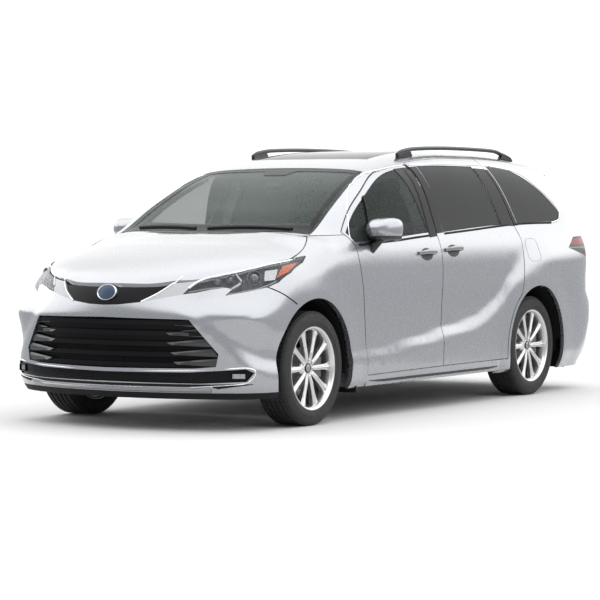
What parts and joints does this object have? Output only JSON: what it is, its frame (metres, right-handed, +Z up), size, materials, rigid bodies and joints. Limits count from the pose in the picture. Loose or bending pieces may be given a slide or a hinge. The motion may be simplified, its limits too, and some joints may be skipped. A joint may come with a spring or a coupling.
{
  "type": "minivan",
  "caption": "Family minivan with sliding rear side doors, a raised tailgate, hinged front doors and hood, steered front wheels and free-turning wheels.",
  "frame": {"origin": "on the ground under the middle of the vehicle", "axes": "+Y towards the tail, +X towards the vehicle's own left side, +Z up"},
  "size_m": [2.2804, 5.1743, 1.8142],
  "materials": {
    "body_paint": "metallic silver white",
    "glass": "clear tinted",
    "dark_glass": "dark tinted",
    "black_plastic": "grained",
    "gloss_black": "gloss",
    "silver_trim": "satin silver",
    "lamp_lens": "clear",
    "red_lens": "red",
    "alloy": "machined and lacquered",
    "tyre": "black",
    "steel": "raw and coated steel",
    "floor_steel": "black underseal",
    "rail_black": "satin dark grey",
    "seat_trim": "woven and stitched",
    "dash_trim": "soft grained",
    "wheel_trim": "black"
  },
  "bodies": {
    "body": {"floor_pan": "floor_steel", "side_frames": "body_paint", "quarter_panels": "body_paint", "fenders": "body_paint", "sliding_doors": "body_paint", "side_glass": "dark_glass", "roof_panel": "body_paint", "roof_glass": "dark_glass", "windshield": "glass", "cowl": "black_plastic", "front_bumper": "body_paint", "upper_grille": "gloss_black", "lower_grille": "gloss_black", "front_lip": "silver_trim", "headlamps": "lamp_lens", "grille_wings": "silver_trim", "rear_bumper": "body_paint", "tail_lamps": "red_lens", "roof_rails": "rail_black", "wheel_arches": "black_plastic", "engine_block": "steel", "radiator": "black_plastic", "front_suspension": "steel", "rear_axle": "steel", "fuel_tank": "black_plastic", "exhaust": "steel", "dashboard": "dash_trim", "seats": "seat_trim", "wipers": "black_plastic"},
    "hood": {"hood": "body_paint"},
    "tailgate": {"tailgate": "body_paint", "tailgate_glass": "dark_glass", "tailgate_lamps": "red_lens"},
    "front_door_left": {"front_door_left": "body_paint", "front_door_glass_left": "glass", "mirror_left": "body_paint"},
    "front_door_right": {"front_door_right": "body_paint", "front_door_glass_right": "glass", "mirror_right": "body_paint"},
    "steering_wheel": {"steering_wheel": "wheel_trim"},
    "knuckle_left": {"knuckle_left": "steel"},
    "knuckle_right": {"knuckle_right": "steel"},
    "wheel_front_left": {"wheel_front_left": "alloy", "tyre_front_left": "tyre"},
    "wheel_front_right": {"wheel_front_right": "alloy", "tyre_front_right": "tyre"},
    "wheel_rear_left": {"wheel_rear_left": "alloy", "tyre_rear_left": "tyre"},
    "wheel_rear_right": {"wheel_rear_right": "alloy", "tyre_rear_right": "tyre"}
  },
  "joints": [
    {"name": "steer_left", "type": "hinge", "parent": "body", "child": "knuckle_left", "pos_m": [0.842, -1.6425, 0.362], "axis": [0, 0, 1], "range_deg": [-35, 35]},
    {"name": "steer_right", "type": "hinge", "parent": "body", "child": "knuckle_right", "pos_m": [-0.842, -1.6425, 0.362], "axis": [0, 0, 1], "range_deg": [-35, 35]},
    {"name": "steering_wheel_turn", "type": "hinge", "parent": "body", "child": "steering_wheel", "pos_m": [0.38688, -0.74898, 1.02637], "axis": [0, 0.9063, 0.4226], "range_deg": [-525, 525]},
    {"name": "wheel_front_left_spin", "type": "hinge", "parent": "knuckle_left", "child": "wheel_front_left", "pos_m": [0.842, -1.6425, 0.362], "axis": [1, 0, 0], "continuous": true},
    {"name": "wheel_front_right_spin", "type": "hinge", "parent": "knuckle_right", "child": "wheel_front_right", "pos_m": [-0.842, -1.6425, 0.362], "axis": [1, 0, 0], "continuous": true},
    {"name": "wheel_rear_left_spin", "type": "hinge", "parent": "body", "child": "wheel_rear_left", "pos_m": [0.842, 1.4175, 0.362], "axis": [1, 0, 0], "continuous": true},
    {"name": "wheel_rear_right_spin", "type": "hinge", "parent": "body", "child": "wheel_rear_right", "pos_m": [-0.842, 1.4175, 0.362], "axis": [1, 0, 0], "continuous": true},
    {"name": "front_door_left_hinge", "type": "hinge", "parent": "body", "child": "front_door_left", "pos_m": [0.97514, -1.21563, 0.75], "axis": [0, 0, -1], "range_deg": [0, 65]},
    {"name": "front_door_right_hinge", "type": "hinge", "parent": "body", "child": "front_door_right", "pos_m": [-0.97514, -1.21563, 0.75], "axis": [0, 0, 1], "range_deg": [0, 65]},
    {"name": "hood_hinge", "type": "hinge", "parent": "body", "child": "hood", "pos_m": [0, -1.408, 1.186], "axis": [-1, 0, 0], "range_deg": [0, 50]},
    {"name": "tailgate_hinge", "type": "hinge", "parent": "body", "child": "tailgate", "pos_m": [0, 2.0625, 1.6788], "axis": [1, 0, 0], "range_deg": [0, 85]}
  ],
  "couplings": [
    {"joint": "steer_right", "follows": "steer_left", "ratio": 1},
    {"joint": "steering_wheel_turn", "follows": "steer_left", "ratio": 15}
  ]
}
